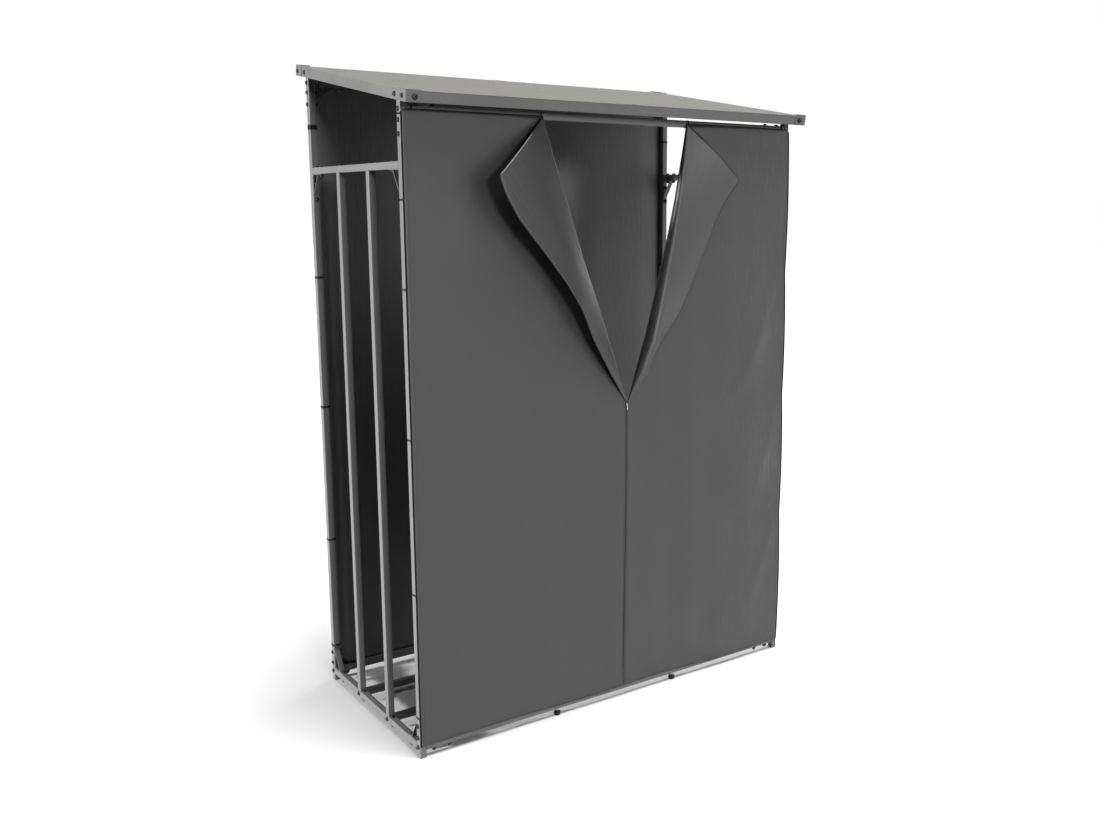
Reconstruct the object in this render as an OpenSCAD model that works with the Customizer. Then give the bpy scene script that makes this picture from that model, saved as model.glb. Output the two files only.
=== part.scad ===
// Log store: an open frame of square steel tube with slatted sides, a lean-to
// sheet roof that falls to the front, a zipped front cover turned back at the
// top, and a plain back cover.  Millimetres, Z up, front towards -Y.

/* [Frame] */
// Width over the posts
frame_width = 1370; // [1200:10:1600]
// Depth over the posts
frame_depth = 660; // [560:10:800]
// Outside size of the square tube
tube_size = 20; // [18:1:24]
// Wall of the square tube
tube_wall = 1.2; // [0.8:0.1:2]
// Rounding of the long edges of the tube
tube_round = 2; // [1.5:0.25:3]
// Underside of the bottom rails above the floor
bottom_rail_level = 22; // [18:1:40]
// Fall from the roof to the top of the front top rail, at the post
front_rail_drop = 42; // [34:1:60]
// Fall from the roof to the top of the back top rail, at the post
back_rail_drop = 36; // [34:1:60]
// Fall from the underside of the front top rail to the underside of the mid rails
mid_rail_drop = 141; // [100:1:300]

/* [Roof] */
// Top of the roof sheet at its front edge
roof_front_height = 1822; // [1780:2:1880]
// Fall of the roof, in degrees
roof_pitch = 10; // [6:0.5:13]
// Overhang of the roof beside the posts
roof_side_over = 10; // [8:1:20]
// Overhang of the roof before the front posts
roof_front_over = 64; // [40:1:100]
// Overhang of the roof behind the back posts
roof_back_over = 42; // [30:1:80]
// Thickness of the roof sheets
sheet_thick = 1; // [0.6:0.1:1.5]
// Overlap of the two roof sheets at the middle
seam_lap = 40; // [20:2:60]
// Height of the edge trim
trim_height = 28; // [20:1:34]
// Thickness of the edge trim
trim_thick = 1.5; // [1:0.1:2]
// Depth of the front and back trim under the sheet
trim_flange = 25; // [15:1:35]
// Return lip along the lower edge of the trim
trim_lip = 6; // [4:0.5:8]
// Room between the lip of the side trim and the posts
lip_room = 3; // [2:0.5:5]
// Set-back of the trim from the edge of the sheet
trim_in = 0.3; // [0.2:0.1:0.6]
// Run of the step of the right sheet down from the lap
lap_slope = 3; // [2:0.5:6]
// Clearance between the two sheets in the lap
lap_gap = 0.1; // [0.1:0.05:0.3]
// Length of each leg of a roof corner bracket
bracket_leg = 42; // [30:1:60]
// Thickness of a roof corner bracket
bracket_thick = 1.5; // [1:0.1:2.5]
// Stand of a roof corner bracket above the sheet
bracket_stand = 3; // [2:0.5:6]

/* [Gussets] */
// Width of the gusset strip
gusset_width = 16; // [12:0.5:16]
// Thickness of the gusset strip
gusset_thick = 2; // [1.5:0.1:3]
// Long leg of a gusset
gusset_long = 88; // [80:1:110]
// Short leg of a gusset
gusset_short = 64; // [56:1:76]
// Foot of the diagonal along the long leg
brace_long = 61; // [50:1:70]
// Foot of the diagonal along the short leg
brace_short = 40; // [32:1:50]

/* [Covers] */
// Thickness of the cover cloth as a solid
cover_thick = 2; // [1.5:0.1:3]
// Rise of the hem above the underside of the bottom rail
cover_hem = 12; // [6:1:16]
// Fall of the upper edge below the top of the top rail
cover_top_drop = 9; // [4:1:14]
// Rounding of the upper corners of the covers
cover_corner = 14; // [8:1:30]
// Place of the zip to the right of the middle
zip_offset = 18; // [-40:1:40]
// Half width of the turned back opening at the top
opening_half = 262; // [200:2:320]
// Depth of the turned back opening below the upper edge
opening_depth = 832; // [600:2:1000]
// Bend radius inside the rolled fold of the left flap
left_fold_bend = 1; // [0.5:0.25:6]
// Bend radius inside the rolled fold of the right flap
right_fold_bend = 6; // [0.5:0.25:12]
// Lean of the left flap away from the cover, in degrees
left_flap_lean = 25; // [10:1:35]
// Lean of the right flap away from the cover, in degrees
right_flap_lean = 11; // [4:1:20]
// Width of the zip
zip_width = 12; // [8:1:16]
// Stand of the zip before the cover
zip_stand = 0.4; // [0.2:0.1:1]
// Depth to which the roll of a fold stays inside the cloth
fold_bury = 0.2; // [0.1:0.05:0.5]
// Turn of the roll of a fold past the edges of the cloth, in degrees
fold_lap = 10; // [6:1:20]

/* [Feet] */
// Place of the centre feet either side of the middle
foot_offset = 223; // [150:1:300]
// Diameter of a centre foot
foot_diameter = 20; // [14:1:20]
// Height of a centre foot
foot_height = 13; // [8:0.5:15]
// Diameter of the threaded stem of a centre foot
stem_diameter = 8; // [6:1:10]
// Bevel round the sole of a centre foot
foot_sole_bevel = 1; // [0.5:0.25:2]
// Width of the bevel round the top of a centre foot
foot_top_bevel = 2; // [1:0.25:3]

/* [Fits] */
// Clearance between pieces that lie side by side
fit = 0.2; // [0.1:0.05:0.5]

/* [Hidden] */
$fn = 48;

half_w = frame_width / 2;
half_d = frame_depth / 2;
half_t = tube_size / 2;
post_x = half_w - half_t;
post_y = half_d - half_t;
in_x = half_w - tube_size;
in_y = half_d - tube_size;
slat_y = 2 * post_y / 6;
low_top = bottom_rail_level + tube_size;
low_mid = bottom_rail_level + half_t;

roof_half = half_w + roof_side_over;
roof_y0 = -half_d - roof_front_over;
roof_len = (frame_depth + roof_front_over + roof_back_over) / cos(roof_pitch);
function roof_z(y) = roof_front_height + (y - roof_y0) * tan(roof_pitch);
front_rail_top = roof_z(-post_y) - front_rail_drop;
back_rail_top = roof_z(post_y) - back_rail_drop;
mid_rail_level = front_rail_top - tube_size - mid_rail_drop;
mid_mid = mid_rail_level + half_t;
trim_foot = -sheet_thick - trim_height;
side_flange = roof_side_over - trim_in + tube_size + trim_thick;
side_lip = min(trim_lip, roof_side_over - lip_room);
trim_u0 = trim_in + trim_thick + fit;

hem_z = bottom_rail_level + cover_hem;
front_cover_top = front_rail_top - cover_top_drop;
back_cover_top = back_rail_top - cover_top_drop;
opening_tip = front_cover_top - opening_depth;
zip_side = zip_width / 2 + fit;
cover_face = half_d + fit + cover_thick;

// a half of the front cover, seen as the left one: foot of its fold, slant of the fold,
// upper edge that is turned back, cloth taken up by the roll, reach and stand of the flap
function fold_foot(zip_at, bend) = zip_at - zip_side - bend - cover_thick;
function fold_angle(zip_at, bend) = atan2(opening_half + fold_foot(zip_at, bend), opening_depth);
function flap_edge(zip_at) = opening_half + zip_at - zip_side;
function roll_cloth(bend, lean) = PI * (180 - lean) / 180 * (bend + cover_thick / 2);
function flap_reach(zip_at, bend, lean) =
    flap_edge(zip_at) * cos(fold_angle(zip_at, bend)) - roll_cloth(bend, lean);
function flap_stand(zip_at, bend, lean) =
    bend + fold_bury + flap_reach(zip_at, bend, lean) * sin(lean)
    + (bend - fold_bury + cover_thick) * cos(lean);

// the origin lies under the middle of the whole object
left_stand = flap_stand(zip_offset, left_fold_bend, left_flap_lean);
right_stand = flap_stand(-zip_offset, right_fold_bend, right_flap_lean);
flap_front = cover_face + max(left_stand, right_stand);
roof_front = -roof_y0 + bracket_thick * cos(roof_pitch) + bracket_stand * sin(roof_pitch);
roof_back = roof_y0 + (roof_len + bracket_thick) * cos(roof_pitch) - trim_foot * sin(roof_pitch);
shift_y = (max(flap_front, roof_front) - roof_back) / 2;

steel = [0.27, 0.28, 0.29];
roof_grey = [0.36, 0.36, 0.35];
cloth = [0.20, 0.20, 0.21];
black = [0.06, 0.06, 0.06];

module placed() {
    translate([0, shift_y, 0]) children();
}

// square tube with rounded long edges, open at both ends
module tube_section() {
    difference() {
        union() {
            square([tube_size - 2 * tube_round, tube_size], center = true);
            square([tube_size, tube_size - 2 * tube_round], center = true);
            for (sx = [-1, 1], sy = [-1, 1])
                translate([sx * (half_t - tube_round), sy * (half_t - tube_round)])
                    circle(r = tube_round);
        }
        square(tube_size - 2 * tube_wall, center = true);
    }
}

module bar_x(x0, x1, y, z) {
    translate([x0, y, z]) rotate([0, 90, 0]) linear_extrude(x1 - x0) tube_section();
}

module bar_y(y0, y1, x, z) {
    translate([x, y0, z]) rotate([-90, 0, 0]) linear_extrude(y1 - y0) tube_section();
}

module bar_z(z0, z1, x, y) {
    translate([x, y, z0]) linear_extrude(z1 - z0) tube_section();
}

// the slanted frame of the roof: X across, Y up the slope, Z out of the sheet
module on_roof() {
    translate([0, roof_y0, roof_front_height]) rotate([roof_pitch, 0, 0]) children();
}

// a post cut to the slope, so that the side trim beds on it
module post(x, y) {
    difference() {
        bar_z(0, roof_z(y) + tube_size, x, y);
        on_roof()
            translate([x - tube_size, 0, -sheet_thick - trim_thick])
                cube([2 * tube_size, roof_len, 4 * tube_size]);
    }
}

// strip bracket: two flat legs and a diagonal, rail leg along X, post leg along Y
module gusset_outline(rail_leg, post_leg, rail_foot, post_foot) {
    slant = sqrt(rail_foot * rail_foot + post_foot * post_foot);
    square([rail_leg, gusset_thick]);
    square([gusset_thick, post_leg]);
    polygon([
        [rail_foot, 0],
        [rail_foot + gusset_thick * slant / post_foot, 0],
        [0, post_foot + gusset_thick * slant / rail_foot],
        [0, post_foot]
    ]);
}

// pair of gussets between a cross rail and its two posts, above (up = 1) or below it
module cross_gussets(y, z, up) {
    for (side = [0, 1])
        mirror([side, 0, 0])
            translate([-in_x, y, z])
                mirror([0, 0, up > 0 ? 0 : 1])
                    translate([0, gusset_width / 2, 0])
                        rotate([90, 0, 0])
                            linear_extrude(gusset_width)
                                gusset_outline(gusset_long, gusset_short, brace_long, brace_short);
}

// pair of gussets between a side rail and its two posts
module side_gussets(x, z, up) {
    for (end = [0, 1])
        mirror([0, end, 0])
            translate([x - gusset_width / 2, -in_y, z])
                mirror([0, 0, up > 0 ? 0 : 1])
                    rotate([90, 0, 90])
                        linear_extrude(gusset_width)
                            gusset_outline(gusset_short, gusset_long, brace_short, brace_long);
}

// edge trim that closes the front or the back of the roof, leg at Y = trim_in
module cross_trim() {
    leg_half = roof_half - trim_in;
    translate([-leg_half, trim_in, trim_foot])
        cube([2 * leg_half, trim_thick, trim_height]);
    flange_half = leg_half - side_flange - fit;
    translate([-flange_half, trim_in, -sheet_thick - trim_thick])
        cube([2 * flange_half, trim_flange, trim_thick]);
    lip_half = leg_half - side_lip - fit;
    translate([-lip_half, trim_in, trim_foot])
        cube([2 * lip_half, trim_lip, trim_thick]);
}

// channel that closes the left side of the roof and beds on the posts
module side_trim() {
    x0 = -roof_half + trim_in;
    translate([0, roof_len - trim_u0, 0])
        rotate([90, 0, 0])
            linear_extrude(roof_len - 2 * trim_u0)
                polygon([
                    [x0, trim_foot],
                    [x0, -sheet_thick],
                    [x0 + side_flange, -sheet_thick],
                    [x0 + side_flange, -sheet_thick - trim_thick],
                    [x0 + trim_thick, -sheet_thick - trim_thick],
                    [x0 + trim_thick, trim_foot + trim_thick],
                    [x0 + side_lip, trim_foot + trim_thick],
                    [x0 + side_lip, trim_foot]
                ]);
}

// angle plate round the front left corner of the roof
module corner_bracket() {
    translate([0, 0, trim_foot])
        linear_extrude(bracket_stand - trim_foot)
            polygon([
                [-roof_half - bracket_thick, -bracket_thick],
                [-roof_half + bracket_leg, -bracket_thick],
                [-roof_half + bracket_leg, 0],
                [-roof_half, 0],
                [-roof_half, bracket_leg],
                [-roof_half - bracket_thick, bracket_leg]
            ]);
}

module back_of_roof() {
    translate([0, roof_len, 0]) mirror([0, 1, 0]) children();
}

// round levelling foot on its stem
module centre_foot(x, y) {
    r = foot_diameter / 2;
    s = stem_diameter / 2;
    translate([x, y, 0])
        rotate_extrude()
            polygon([
                [0, 0],
                [r - foot_sole_bevel, 0],
                [r, foot_sole_bevel],
                [r, foot_height - 1.5 * foot_top_bevel],
                [r - foot_top_bevel, foot_height],
                [s, foot_height],
                [s, bottom_rail_level],
                [0, bottom_rail_level]
            ]);
}

// corner of a cover that is rounded off, at its upper left
module corner_waste(top) {
    translate([-half_w, top - cover_corner])
        difference() {
            translate([-fit, 0]) square([cover_corner + fit, cover_corner + fit]);
            translate([cover_corner, 0]) circle(r = cover_corner);
        }
}

// left half of the front cover: the panel, the rolled fold beside the opening and the
// flap that is turned back over it, as one sheet
module half_cover(zip_at, bend, lean) {
    foot = fold_foot(zip_at, bend);
    angle = fold_angle(zip_at, bend);
    fold_len = opening_depth / cos(angle);
    reach = flap_reach(zip_at, bend, lean);
    drop = flap_edge(zip_at) * sin(angle);
    translate([0, -half_d - fit, 0])
        rotate([90, 0, 0])
            linear_extrude(cover_thick)
                difference() {
                    polygon([
                        [-half_w, hem_z],
                        [zip_at - zip_side, hem_z],
                        [zip_at - zip_side, opening_tip],
                        [foot, opening_tip],
                        [-opening_half, front_cover_top],
                        [-half_w, front_cover_top]
                    ]);
                    corner_waste(front_cover_top);
                }
    translate([-opening_half, -cover_face, front_cover_top])
        rotate([90, 0, 0])
            rotate([0, 0, 180 + angle])
                translate([0, 0, bend + fold_bury]) {
                    rotate([-90, 0, 0])
                        rotate([0, 0, 90 - fold_lap])
                            rotate_extrude(angle = 180 - lean + 2 * fold_lap)
                                translate([bend, 0]) square([cover_thick, fold_len]);
                    rotate([0, -lean, 0])
                        translate([0, 0, bend - fold_bury])
                            linear_extrude(cover_thick)
                                polygon([[0, 0], [reach, drop], [0, fold_len]]);
                }
}

module front_left_post() { color(steel) placed() post(-post_x, -post_y); }
module front_right_post() { color(steel) placed() post(post_x, -post_y); }
module back_left_post() { color(steel) placed() post(-post_x, post_y); }
module back_right_post() { color(steel) placed() post(post_x, post_y); }

module bottom_front_rail() { color(steel) placed() bar_x(-in_x, in_x, -post_y, low_mid); }
module bottom_back_rail() { color(steel) placed() bar_x(-in_x, in_x, post_y, low_mid); }
module bottom_left_rail() { color(steel) placed() bar_y(-in_y, in_y, -post_x, low_mid); }
module bottom_right_rail() { color(steel) placed() bar_y(-in_y, in_y, post_x, low_mid); }
module front_floor_bar() { color(steel) placed() bar_x(-in_x, in_x, -slat_y, low_mid); }
module back_floor_bar() { color(steel) placed() bar_x(-in_x, in_x, slat_y, low_mid); }
module left_mid_rail() { color(steel) placed() bar_y(-in_y, in_y, -post_x, mid_mid); }
module right_mid_rail() { color(steel) placed() bar_y(-in_y, in_y, post_x, mid_mid); }

module left_front_slat() { color(steel) placed() bar_z(low_top, mid_rail_level, -post_x, -slat_y); }
module left_back_slat() { color(steel) placed() bar_z(low_top, mid_rail_level, -post_x, slat_y); }
module right_front_slat() { color(steel) placed() bar_z(low_top, mid_rail_level, post_x, -slat_y); }
module right_back_slat() { color(steel) placed() bar_z(low_top, mid_rail_level, post_x, slat_y); }

module top_front_rail() { color(steel) placed() bar_x(-in_x, in_x, -post_y, front_rail_top - half_t); }
module top_back_rail() { color(steel) placed() bar_x(-in_x, in_x, post_y, back_rail_top - half_t); }

module bottom_front_gussets() { color(steel) placed() cross_gussets(-post_y, low_top, 1); }
module bottom_back_gussets() { color(steel) placed() cross_gussets(post_y, low_top, 1); }
module top_front_gussets() { color(steel) placed() cross_gussets(-post_y, front_rail_top - tube_size, -1); }
module top_back_gussets() { color(steel) placed() cross_gussets(post_y, back_rail_top - tube_size, -1); }
module left_bottom_gussets() { color(steel) placed() side_gussets(-post_x, low_top, 1); }
module right_bottom_gussets() { color(steel) placed() side_gussets(post_x, low_top, 1); }
module left_mid_gussets() { color(steel) placed() side_gussets(-post_x, mid_rail_level, -1); }
module right_mid_gussets() { color(steel) placed() side_gussets(post_x, mid_rail_level, -1); }

module roof_left_panel() {
    color(roof_grey) placed() on_roof()
        translate([-roof_half, 0, -sheet_thick])
            cube([roof_half + seam_lap / 2, roof_len, sheet_thick]);
}

// the right sheet steps up over the left one at the seam
module roof_right_panel() {
    lap = seam_lap / 2;
    step0 = lap + 2 * trim_in;
    step1 = step0 + lap_slope;
    color(roof_grey) placed() on_roof()
        translate([0, roof_len, 0])
            rotate([90, 0, 0])
                linear_extrude(roof_len)
                    polygon([
                        [-lap, lap_gap],
                        [step0, lap_gap],
                        [step1, -sheet_thick],
                        [roof_half, -sheet_thick],
                        [roof_half, 0],
                        [step1 + 2 * trim_in, 0],
                        [step0 + 2 * trim_in, lap_gap + sheet_thick],
                        [-lap, lap_gap + sheet_thick]
                    ]);
}

module front_roof_trim() { color(steel) placed() on_roof() cross_trim(); }
module back_roof_trim() { color(steel) placed() on_roof() back_of_roof() cross_trim(); }
module left_roof_trim() { color(steel) placed() on_roof() side_trim(); }
module right_roof_trim() { color(steel) placed() on_roof() mirror([1, 0, 0]) side_trim(); }

module front_left_roof_bracket() { color(steel) placed() on_roof() corner_bracket(); }
module front_right_roof_bracket() { color(steel) placed() on_roof() mirror([1, 0, 0]) corner_bracket(); }
module back_left_roof_bracket() { color(steel) placed() on_roof() back_of_roof() corner_bracket(); }
module back_right_roof_bracket() {
    color(steel) placed() on_roof() back_of_roof() mirror([1, 0, 0]) corner_bracket();
}

module front_centre_feet() {
    color(black) placed() {
        centre_foot(-foot_offset, -post_y);
        centre_foot(foot_offset, -post_y);
    }
}

module back_centre_feet() {
    color(black) placed() {
        centre_foot(-foot_offset, post_y);
        centre_foot(foot_offset, post_y);
    }
}

module front_cover_left() {
    color(cloth) placed() half_cover(zip_offset, left_fold_bend, left_flap_lean);
}

module front_cover_right() {
    color(cloth) placed() mirror([1, 0, 0]) half_cover(-zip_offset, right_fold_bend, right_flap_lean);
}

module front_zip() {
    color(black) placed()
        translate([zip_offset - zip_width / 2, -cover_face - zip_stand, hem_z])
            cube([zip_width, cover_thick + zip_stand, opening_tip - hem_z]);
}

module back_cover() {
    color(cloth) placed()
        translate([0, half_d + fit + cover_thick, 0])
            rotate([90, 0, 0])
                linear_extrude(cover_thick)
                    difference() {
                        translate([-half_w, hem_z]) square([frame_width, back_cover_top - hem_z]);
                        corner_waste(back_cover_top);
                        mirror([1, 0]) corner_waste(back_cover_top);
                    }
}

front_left_post();
front_right_post();
back_left_post();
back_right_post();
bottom_front_rail();
bottom_back_rail();
bottom_left_rail();
bottom_right_rail();
front_floor_bar();
back_floor_bar();
left_mid_rail();
right_mid_rail();
left_front_slat();
left_back_slat();
right_front_slat();
right_back_slat();
top_front_rail();
top_back_rail();
bottom_front_gussets();
bottom_back_gussets();
top_front_gussets();
top_back_gussets();
left_bottom_gussets();
right_bottom_gussets();
left_mid_gussets();
right_mid_gussets();
roof_left_panel();
roof_right_panel();
front_roof_trim();
back_roof_trim();
left_roof_trim();
right_roof_trim();
front_left_roof_bracket();
front_right_roof_bracket();
back_left_roof_bracket();
back_right_roof_bracket();
front_centre_feet();
back_centre_feet();
front_cover_left();
front_cover_right();
front_zip();
back_cover();
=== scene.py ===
import math

import bpy
import numpy as np
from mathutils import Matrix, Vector

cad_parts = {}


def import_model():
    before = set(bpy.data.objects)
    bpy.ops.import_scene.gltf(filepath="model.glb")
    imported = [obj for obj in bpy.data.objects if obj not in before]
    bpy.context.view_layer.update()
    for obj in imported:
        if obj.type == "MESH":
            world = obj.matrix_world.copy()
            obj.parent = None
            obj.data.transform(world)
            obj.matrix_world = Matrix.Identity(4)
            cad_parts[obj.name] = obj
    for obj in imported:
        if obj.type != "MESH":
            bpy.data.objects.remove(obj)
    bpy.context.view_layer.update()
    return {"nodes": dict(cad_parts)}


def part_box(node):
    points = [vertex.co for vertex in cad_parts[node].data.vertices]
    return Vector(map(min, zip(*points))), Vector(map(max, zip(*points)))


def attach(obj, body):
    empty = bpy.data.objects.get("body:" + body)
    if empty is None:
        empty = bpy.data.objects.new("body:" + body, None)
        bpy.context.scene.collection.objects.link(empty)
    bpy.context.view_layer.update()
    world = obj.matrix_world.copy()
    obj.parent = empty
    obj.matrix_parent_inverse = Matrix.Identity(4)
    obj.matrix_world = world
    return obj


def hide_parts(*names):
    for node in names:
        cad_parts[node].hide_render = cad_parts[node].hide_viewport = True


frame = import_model()
nodes = frame["nodes"]
scene = bpy.context.scene


# Layout: lengths are millimetres, X across, Y from the front to the back with 0 midway between the
# posts, Z up. SHIFT is where that Y = 0 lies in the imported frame.

METRE = 1000.0
SHIFT = METRE * (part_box("front_left_post")[0].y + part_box("back_left_post")[1].y) / 2


def world(points):
    """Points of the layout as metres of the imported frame."""
    return (np.asarray(points, float).reshape(-1, 3) + (0.0, SHIFT, 0.0)) / METRE


def local_box(node):
    """The lowest and the highest corner of a CAD node in the layout."""
    return [np.round(np.array(corner) * METRE - (0.0, SHIFT, 0.0), 2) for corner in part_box(node)]


def heights(node):
    """The lower and the upper face of a rail, to the whole millimetre."""
    return [float(round(corner[2])) for corner in local_box(node)]


post_low, post_high = local_box("front_left_post")
TUBE = post_high[0] - post_low[0]
SIDE, DEPTH = -post_low[0], -post_low[1]              # outer faces of the posts
INNER_X, INNER_Y = SIDE - TUBE, DEPTH - TUBE          # inner faces of the posts
POST_X, POST_Y = SIDE - TUBE / 2, DEPTH - TUBE / 2    # middles of the posts
RAIL_LOW, RAIL_TOP = heights("bottom_left_rail")
MID_LOW, MID_TOP = heights("left_mid_rail")
FRONT_RAIL_LOW, FRONT_RAIL_TOP = heights("top_front_rail")
BACK_RAIL_LOW, BACK_RAIL_TOP = heights("top_back_rail")
SLAT_Y = sum(corner[1] for corner in local_box("left_back_slat")) / 2
SIDES = ((-1, "left"), (1, "right"))


# Camera, fitted to the photograph

PHOTO_WIDTH, PHOTO_HEIGHT = 1100.0, 824.0
FOCAL_PX = 1092.8
AXIS_X_PX, AXIS_Y_PX = 618.4, 390.2                   # where the camera's axis meets the photograph
CAMERA_AT = (-1901.1, -2981.3, 1537.4)
CAMERA_TURN, CAMERA_DIP = math.radians(35.656), math.radians(9.571)
SENSOR_WIDTH = 36.0


def aim(obj, direction):
    """Turns a camera or a light to look along a direction."""
    obj.rotation_mode = "QUATERNION"
    obj.rotation_quaternion = direction.to_track_quat("-Z", "Y")


def make_camera():
    level = math.cos(CAMERA_DIP)
    data = bpy.data.cameras.new("camera")
    data.sensor_fit = "HORIZONTAL"
    data.sensor_width = SENSOR_WIDTH
    data.lens = FOCAL_PX / PHOTO_WIDTH * SENSOR_WIDTH
    data.shift_x = (PHOTO_WIDTH / 2 - AXIS_X_PX) / PHOTO_WIDTH
    data.shift_y = (AXIS_Y_PX - PHOTO_HEIGHT / 2) / PHOTO_WIDTH
    data.clip_end = 200.0
    cam = bpy.data.objects.new("camera", data)
    scene.collection.objects.link(cam)
    cam.location = Vector(world(CAMERA_AT)[0])
    ahead = (math.sin(CAMERA_TURN) * level, math.cos(CAMERA_TURN) * level, -math.sin(CAMERA_DIP))
    aim(cam, Vector(ahead))
    scene.camera = cam


make_camera()


# Materials

NOISE_SPAN = (0.3, 0.7)     # where most values of a noise lie
WEAVE_PITCH = 0.0017        # metres from thread to thread of the cover cloth


def fill(node, **values):
    """Sets sockets of a shader node by name, with _ for a space."""
    for name, value in values.items():
        node.inputs[name.replace("_", " ")].default_value = value
    return node


class Mat:
    """A node material with a few helpers, so that each recipe below stays short."""

    def __init__(self, name, **sockets):
        self.mat = bpy.data.materials.new(name)
        self.mat.use_nodes = True
        self.tree = self.mat.node_tree
        self.bsdf = fill(self.tree.nodes["Principled BSDF"], **sockets)

    def node(self, kind, **settings):
        n = self.tree.nodes.new(kind)
        for name, value in settings.items():
            setattr(n, name, value)
        return n

    def link(self, out, to):
        self.tree.links.new(out, to)

    def put(self, socket, value):
        """Links a socket, or sets it where the value is a constant."""
        if isinstance(value, (int, float, tuple)):
            socket.default_value = value
        else:
            self.link(value, socket)

    def coords(self, kind="Object", scale=(1, 1, 1)):
        mapping = fill(self.node("ShaderNodeMapping"), Scale=scale)
        self.link(self.node("ShaderNodeTexCoord").outputs[kind], mapping.inputs["Vector"])
        return mapping.outputs["Vector"]

    def noise(self, vec, scale=1.0, detail=2.0, rough=0.5):
        n = fill(self.node("ShaderNodeTexNoise"), Scale=scale, Detail=detail, Roughness=rough)
        self.link(vec, n.inputs["Vector"])
        return n.outputs["Fac"]

    def remap(self, value, span, to=(0.0, 1.0)):
        n = self.node("ShaderNodeMapRange")
        fill(n, From_Min=span[0], From_Max=span[1], To_Min=to[0], To_Max=to[1])
        self.link(value, n.inputs["Value"])
        return n.outputs["Result"]

    def math(self, op, *values):
        n = self.node("ShaderNodeMath", operation=op)
        for socket, value in zip(n.inputs, values):
            self.put(socket, value)
        return n.outputs["Value"]

    def blend(self, a, b, share):
        """The sum of two values, with this share of the first."""
        return self.math("ADD", self.math("MULTIPLY", a, share), self.math("MULTIPLY", b, 1 - share))

    def mix(self, fac, a, b):
        n = self.node("ShaderNodeMix", data_type="RGBA")
        fac_in, a_in, b_in, out = n.inputs[0], n.inputs[6], n.inputs[7], n.outputs[2]
        for socket, value in ((fac_in, fac), (a_in, a), (b_in, b)):
            self.put(socket, value)
        return out

    def bump(self, height, strength, distance, normal=None):
        n = fill(self.node("ShaderNodeBump"), Strength=strength, Distance=distance)
        self.link(height, n.inputs["Height"])
        if normal is not None:
            self.link(normal, n.inputs["Normal"])
        return n.outputs["Normal"]

    def set(self, socket, out):
        self.link(out, self.bsdf.inputs[socket])


def grey(tone, warm=0.0):
    """A near neutral colour; warm takes out blue and adds a little red."""
    return (tone * (1 + 0.15 * warm), tone, tone * (1 - warm), 1.0)


def around(value, spread):
    return (value - spread, value + spread)


def paint(name, tone, warm, rough, edge_wear_and_highlight, peel=0.25, mottle=0.10):
    """Powder coat: faint mottling, orange peel, softened edges, and edges painted lighter, partly as rubbed
    wear and partly as a painted highlight.
    """
    m = Mat(name, Roughness=rough, IOR=1.5)
    vec = m.coords()
    broad, small = m.noise(vec, scale=3.0, detail=4.0), m.noise(vec, scale=55.0, detail=3.0)
    dark, light = (grey(tone * k, warm) for k in around(1.0, mottle))
    colour = m.mix(m.remap(m.blend(broad, small, share=0.65), NOISE_SPAN), dark, light)
    soft = fill(m.node("ShaderNodeBevel", samples=4), Radius=0.0011).outputs["Normal"]
    turn = m.node("ShaderNodeVectorMath", operation="DOT_PRODUCT")
    m.link(soft, turn.inputs[0])
    m.link(m.node("ShaderNodeNewGeometry").outputs["Normal"], turn.inputs[1])
    # Edge mask for the lighter edges: part rubbed wear, part a painted highlight along the edges.
    wear_and_highlight_edge = m.remap(turn.outputs["Value"], span=(0.99, 0.80))
    patch = m.remap(m.noise(vec, scale=28.0, detail=5.0), span=(0.40, 0.62), to=(0.25, 1.0))
    colour = m.mix(m.math("MULTIPLY", wear_and_highlight_edge, patch), colour, grey(tone * (1 + edge_wear_and_highlight), warm))
    m.set("Base Color", colour)
    gloss = m.noise(vec, scale=21.0, detail=3.0)
    m.set("Roughness", m.remap(gloss, NOISE_SPAN, to=around(rough, 0.07)))
    orange = m.noise(vec, scale=850.0, detail=1.0)
    m.set("Normal", m.bump(orange, peel, distance=0.00025, normal=soft))
    return m.mat


def painted_sheen_and_crinkles(m, colour, fine, across, tone):
    """A painted sheen towards the right of the front cover: a lighter zone and light crease lines painted
    into the colour as highlights, and crinkle bumps that grow stronger there.
    """
    sheen_drift = m.noise(m.coords("UV", scale=(3.0, 2.4, 1.0)))
    sheen_drift = m.remap(sheen_drift, span=(0.36, 0.62), to=(0.25, 1.0))
    sheen_zone = m.math("MULTIPLY", m.remap(across, span=(0.34, 0.62)), sheen_drift)
    # Painted sheen: the zone is lightened, then crease lines are painted lighter still as highlights.
    colour = m.mix(m.math("MULTIPLY", sheen_zone, 0.45), colour, grey(tone * 1.5))
    crease_highlight = m.math("MULTIPLY", m.remap(fine, span=(0.54, 0.70), to=(0.0, 0.55)), sheen_zone)
    colour = m.mix(crease_highlight, colour, grey(tone * 2.2))
    fine = m.math("MULTIPLY", fine, m.remap(across, span=(0.16, 0.62), to=(0.12, 1.0)))
    return colour, fine


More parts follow.
